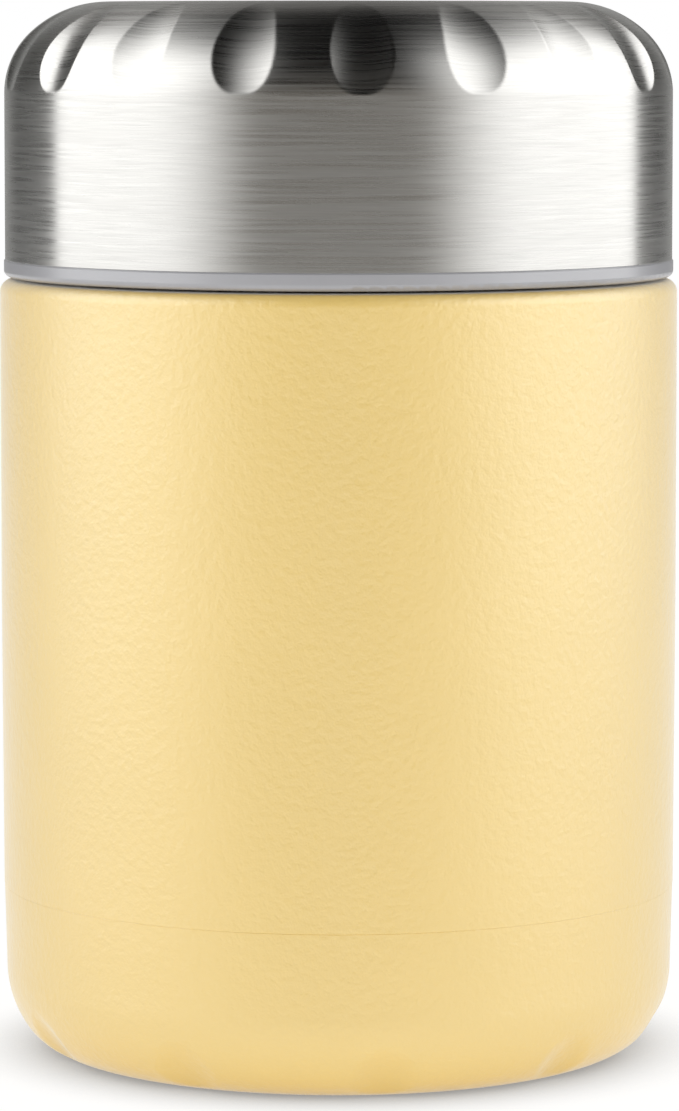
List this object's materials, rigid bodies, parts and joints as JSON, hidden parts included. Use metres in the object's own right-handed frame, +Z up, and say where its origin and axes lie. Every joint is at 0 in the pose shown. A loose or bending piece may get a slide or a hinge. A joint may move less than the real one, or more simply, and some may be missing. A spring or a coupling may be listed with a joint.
{
  "type": "insulated food jar",
  "caption": "Round double-walled steel food jar with a coated body, a threaded neck and a screw-on domed steel lid with fluted shoulder.",
  "frame": {"origin": "centre of the jar's foot, on the surface it stands on", "axes": "+Z up along the jar's axis, -Y towards the side the picture shows, +X to its right"},
  "size_m": [0.094, 0.094, 0.1456],
  "materials": {
    "yellow_coat": "fine matte powder coat, pale yellow",
    "bare_steel": "mill finish stainless sheet",
    "bowl_steel": "satin stainless, turned marks round the neck",
    "brushed_steel": "brushed round the lid",
    "seal_glass": "dark sealing glass",
    "getter_alloy": "pressed grey powder",
    "copper_foil": "thin bright copper foil",
    "grey_moulding": "satin light grey polypropylene",
    "white_foam": "beaded white foam",
    "clear_silicone": "milky soft silicone"
  },
  "bodies": {
    "jar": {"outer_shell": "yellow_coat", "base_cup": "yellow_coat", "vacuum_dish": "bare_steel", "seal_bead": "seal_glass", "getter_cup": "bare_steel", "getter_pellet": "getter_alloy", "inner_bowl": "bowl_steel", "heat_foil": "copper_foil"},
    "seal": {"sealing_ring": "clear_silicone"},
    "lid": {"lid_dome": "brushed_steel", "lid_liner": "grey_moulding", "lid_plug": "grey_moulding", "plug_insulation": "white_foam", "lid_insulation": "white_foam"}
  },
  "joints": [
    {"name": "lid_lift", "type": "slide", "parent": "jar", "child": "seal", "axis": [0, 0, 1], "range_m": [0, 0.0205]},
    {"name": "lid_turn", "type": "hinge", "parent": "seal", "child": "lid", "pos_m": [0, 0, 0.12], "axis": [0, 0, 1], "range_deg": [0, 1440]}
  ],
  "couplings": [
    {"joint": "lid_lift", "follows": "lid_turn", "m_per_rad": 0.00079577}
  ]
}
